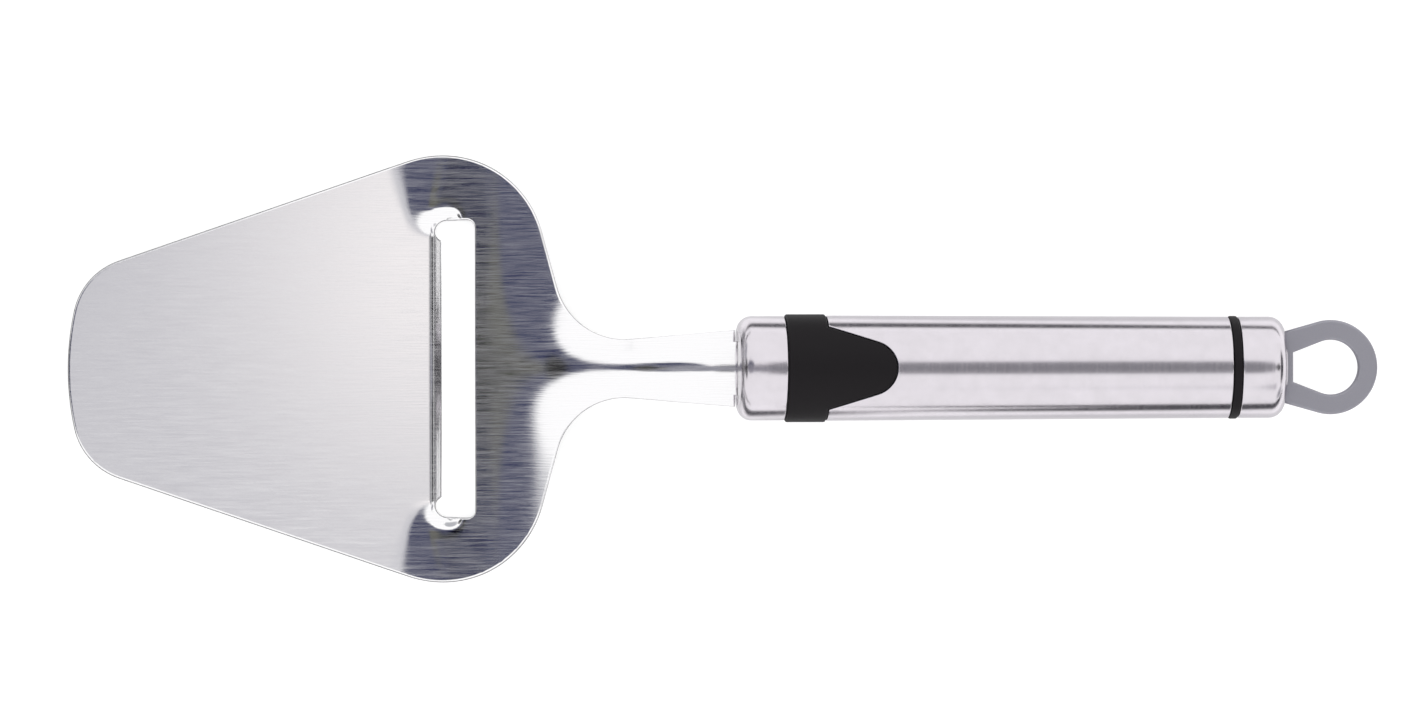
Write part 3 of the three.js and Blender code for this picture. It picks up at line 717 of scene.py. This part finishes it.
# Rear cap: a drawn steel cup like the front one, satin finished, with a narrow slot for the loop's tail.
# It closes the rear of the handle and is glued to the rear plug.
REAR_CAP_LENGTH = 8.7 * MM
LOOP_THICKNESS = 2 * MM
LOOP_TAIL_WIDTH = 9 * MM

bm = bmesh.new()
drawn_cup(
    bm,
    REAR_CAP_RADIUS,
    REAR_CAP_LENGTH + FIT_GAP - SEAM_GAP,
    REAR_CAP_EDGE,
    slot_width=LOOP_TAIL_WIDTH + FIT_GAP,
    slot_low=-LOOP_THICKNESS / 2 - SEAM_GAP,
    slot_high=LOOP_THICKNESS / 2 + SEAM_GAP,
)
bm.transform(handle_place @ Matrix.Translation((HANDLE_LENGTH, 0, 0)) @ Matrix.Rotation(math.pi, 4, "Z"))
piece_of(bm, "drawn_rear_cap", "rear_cap", satin_steel)

# Hanging loop: a flat steel plate with a drop-shaped hole, blanked and blasted matt.
# Its tail goes through the rear cap and is pinned in the rear plug.
LOOP_ROOT_WIDTH = 13.6 * MM
LOOP_CENTRE_REACH = 9.1 * MM
LOOP_OUTER_RADIUS = 9 * MM
LOOP_HOLE_RADIUS = 5.2 * MM
LOOP_HOLE_START = 1.9 * MM
LOOP_HOLE_START_WIDTH = 5.6 * MM
LOOP_TAIL_LENGTH = 14 * MM
LOOP_EDGE = 0.35 * MM

loop_centre = HANDLE_LENGTH + LOOP_CENTRE_REACH


def drop_touch(root, half_width, radius):
    """Angle at which the drop's straight side meets its round end."""
    to_corner = math.atan2(half_width, root - loop_centre)
    return to_corner - math.acos(radius / math.hypot(half_width, root - loop_centre))


def blasted_loop_steel():
    """Matt grey steel, blasted with fine grit."""
    material = grained_finish("blasted_loop_steel", (4000, 4000, 4000), (0.42, 0.6), relief=0.3)
    nodes = material.node_tree.nodes
    nodes["Noise Texture"].inputs["Detail"].default_value = 3
    shader = nodes["Principled BSDF"]
    shader.inputs["Base Color"].default_value = (0.34, 0.335, 0.375, 1)
    shader.inputs["Metallic"].default_value = 1
    return material


def flat_loop(x, y, depth):
    return handle_place @ Vector((x, y, LOOP_THICKNESS * (0.5 - depth)))


loop_root = HANDLE_LENGTH + SEAM_GAP
loop_tail = HANDLE_LENGTH - LOOP_TAIL_LENGTH
hole_start = HANDLE_LENGTH + LOOP_HOLE_START
outer_touch = drop_touch(loop_root, LOOP_ROOT_WIDTH / 2, LOOP_OUTER_RADIUS)
hole_touch = drop_touch(hole_start, LOOP_HOLE_START_WIDTH / 2, LOOP_HOLE_RADIUS)
bm = bmesh.new()
first = start_outline(bm, loop_tail, -OUTLINE_OVERLAP)
last = line_to(bm, first, loop_tail, LOOP_TAIL_WIDTH / 2)
last = line_to(bm, last, loop_root, LOOP_TAIL_WIDTH / 2)
last = line_to(bm, last, loop_root, LOOP_ROOT_WIDTH / 2)
last = line_to(
    bm,
    last,
    loop_centre + LOOP_OUTER_RADIUS * math.cos(outer_touch),
    LOOP_OUTER_RADIUS * math.sin(outer_touch),
)
last = arc_round(bm, last, (loop_centre, 0), -outer_touch, steps=40)
last = line_to(bm, last, loop_centre + LOOP_OUTER_RADIUS, -OUTLINE_OVERLAP)
last = line_to(bm, last, loop_centre + LOOP_HOLE_RADIUS, -OUTLINE_OVERLAP)
last = line_to(bm, last, loop_centre + LOOP_HOLE_RADIUS, 0)
last = arc_round(bm, last, (loop_centre, 0), hole_touch, steps=32)
last = line_to(bm, last, hole_start, LOOP_HOLE_START_WIDTH / 2)
last = line_to(bm, last, hole_start, -OUTLINE_OVERLAP)
bm.edges.new((last, first))
formed_sheet(bm, LOOP_EDGE, spaced(loop_tail, loop_root, 4 * MM), [], None, flat_loop)
piece_of(bm, "blanked_hanging_loop", "hanging_loop", blasted_loop_steel())

# Table and light: a white table in a white tent, with glowing sheets round the slicer that only its steel
# mirrors; the sheets under the handle and the plate are painted shade.
# They hang above it and at its sides or lie on the table, each at a height of its own.
TABLE_SIZE = 12
TENT_STRENGTH = 1.2


def sheet_object(name, material):
    """A square sheet from -1 to 1 in its own frame."""
    bm = bmesh.new()
    bmesh.ops.create_grid(bm, x_segments=1, y_segments=1, size=1)
    mesh = bpy.data.meshes.new(name)
    bm.to_mesh(mesh)
    bm.free()
    mesh.materials.append(material)
    sheet = bpy.data.objects.new(name, mesh)
    bpy.context.scene.collection.objects.link(sheet)
    return sheet


def mirrored_sheet(name, centre, half_size, colour, softness, facing=(0, 0, 1)):
    """An oval glowing sheet with a soft border, shown only in reflections. Above and round the slicer such
    sheets act as lamps and dark flags; on the table some are painted shade.
    """
    material = bpy.data.materials.new(name)
    material.use_nodes = True
    nodes = material.node_tree.nodes
    links = material.node_tree.links
    nodes.remove(nodes["Principled BSDF"])
    place = nodes.new("ShaderNodeTexCoord")
    oval = nodes.new("ShaderNodeTexGradient")
    oval.gradient_type = "SPHERICAL"
    border = nodes.new("ShaderNodeMapRange")
    border.interpolation_type = "SMOOTHSTEP"
    border.inputs["From Max"].default_value = softness
    glow = nodes.new("ShaderNodeEmission")
    glow.inputs["Color"].default_value = (*colour, 1)
    clear = nodes.new("ShaderNodeBsdfTransparent")
    mix = nodes.new("ShaderNodeMixShader")
    links.new(place.outputs["Object"], oval.inputs["Vector"])
    links.new(oval.outputs["Fac"], border.inputs["Value"])
    links.new(border.outputs["Result"], mix.inputs["Fac"])
    links.new(clear.outputs["BSDF"], mix.inputs[1])
    links.new(glow.outputs["Emission"], mix.inputs[2])
    links.new(mix.outputs["Shader"], nodes["Material Output"].inputs["Surface"])
    sheet = sheet_object(name, material)
    sheet.location = centre
    sheet.scale = (*half_size, 1)
    sheet.rotation_euler = Vector(facing).to_track_quat("Z", "Y").to_euler()
    sheet.visible_camera = False
    sheet.visible_diffuse = False
    sheet.visible_shadow = False
    sheet.visible_transmission = False


def white_table():
    """Matt white that glows enough to stay white beside the slicer."""
    material = bpy.data.materials.new("white_table")
    material.use_nodes = True
    shader = material.node_tree.nodes["Principled BSDF"]
    shader.inputs["Base Color"].default_value = (0.55, 0.55, 0.55, 1)
    shader.inputs["Roughness"].default_value = 0.9
    shader.inputs["Specular IOR Level"].default_value = 0
    shader.inputs["Emission Color"].default_value = (1, 1, 1, 1)
    shader.inputs["Emission Strength"].default_value = 0.62
    return material


sheet_object("table", white_table()).scale = (TABLE_SIZE / 2, TABLE_SIZE / 2, 1)

world = bpy.data.worlds.new("white_tent")
world.use_nodes = True
world.node_tree.nodes["Background"].inputs["Color"].default_value = (1, 1, 1, 1)
world.node_tree.nodes["Background"].inputs["Strength"].default_value = TENT_STRENGTH
bpy.context.scene.world = world

# Above the slicer: greys for the blade and the handle, blue and olive for the rear of the blade.
mirrored_sheet("over_handle", (0.195, 0, 0.58), (0.155, 0.16), (0.27, 0.27, 0.29), 0.25)
mirrored_sheet("over_slot", (0.05, 0.028, 0.59), (0.1, 0.1), (1.14, 1.1, 1.09), 1)
mirrored_sheet("over_blade", (0.05, 0, 0.60), (0.18, 0.09), (0.67, 0.665, 0.70), 0.4)
mirrored_sheet("left_olive", (-0.42, 0.004, 0.61), (0.07, 0.042), (0.12, 0.12, 0.1), 0.35)
mirrored_sheet("left_black", (-0.575, 0.01, 0.62), (0.12, 0.13), (0, 0, 0), 0.5)
mirrored_sheet("left_dark", (-0.44, 0.05, 0.64), (0.52, 0.185), (0.06, 0.065, 0.125), 0.3)
mirrored_sheet("right_dark", (0.75, 0, 0.65), (0.42, 0.12), (0.02, 0.02, 0.025), 0.3)
mirrored_sheet("over_neck", (-0.013, 0, 0.06), (0.036, 0.0085), (0.29, 0.29, 0.335), 0.5)
# Round the slicer: greys beside the blade and to the right, darks at both ends.
mirrored_sheet(
    "beside_blade", (-0.135, 0.058, 0.0525), (0.06, 0.033), (0.5, 0.51, 0.54), 0.3, (0.558, -0.641, -0.528)
)
mirrored_sheet("behind_neck", (0.454, -0.726, 0.685), (0.22, 0.18), (0.62, 0.62, 0.65), 0.8, (-0.44, 0.66, -0.61))
mirrored_sheet("far_right_grey", (0.93, -0.89, 0.22), (0.5, 0.25), (0.42, 0.43, 0.46), 0.7, (-0.93, 0.89, -0.22))
mirrored_sheet("before_lip", (1.0, 0, 0.33), (0.6, 0.25), (0.05, 0.05, 0.06), 0.4, (-1, 0, 0))
mirrored_sheet("left_horizon", (-0.9, 0, 0.45), (0.34, 0.2), (0.03, 0.03, 0.035), 0.3, (1, 0, 0))
mirrored_sheet("left_low", (-0.88, 0, 0.13), (0.13, 0.17), (0.03, 0.03, 0.035), 0.3, (1, 0, 0))
# On the table: painted shade that the steel mirrors, pale under the handle and dark under the blade, its
# slot and its neck; dark strips along both sides of the handle.
mirrored_sheet("left_table", (-0.5, 0, 0.35 * MM), (0.3, 0.8), (0.06, 0.06, 0.07), 0.4)
mirrored_sheet("painted_shade_under_handle", (0.055, 0, 0.2 * MM), (0.09, 0.034), (0.8, 0.8, 0.81), 0.3)
mirrored_sheet("painted_shade_under_slot", (-0.05, 0, 0.25 * MM), (0.02, 0.024), (0.03, 0.03, 0.03), 0.4)
mirrored_sheet("painted_shade_under_blade", (-0.10, 0, 0.3 * MM), (0.09, 0.10), (0.2, 0.2, 0.21), 0.3)
mirrored_sheet("painted_shade_under_neck", (-0.034, 0, 0.55 * MM), (0.021, 0.022), (0.01, 0.01, 0.015), 0.2)
mirrored_sheet("behind_tube", (0.06, 0.078, 0.4 * MM), (0.14, 0.04), (0.08, 0.08, 0.09), 0.4)
mirrored_sheet("before_tube", (0.17, -0.2, 0.5 * MM), (0.135, 0.15), (0.02, 0.02, 0.03), 0.1)
mirrored_sheet("beside_tube", (0.1, -0.065, 0.6 * MM), (0.08, 0.03), (0.04, 0.04, 0.05), 0.5)
mirrored_sheet("before_cap", (-0.01, -0.056, 0.45 * MM), (0.06, 0.034), (0.1, 0.1, 0.11), 0.6)
# Low on both sides of the tip: dark strips.
for y in (0.75, -0.75):
    mirrored_sheet("low_left", (-0.55, y, 0.025), (0.45, 0.05), (0.05, 0.05, 0.06), 0.4, (0.55, -y, 0))
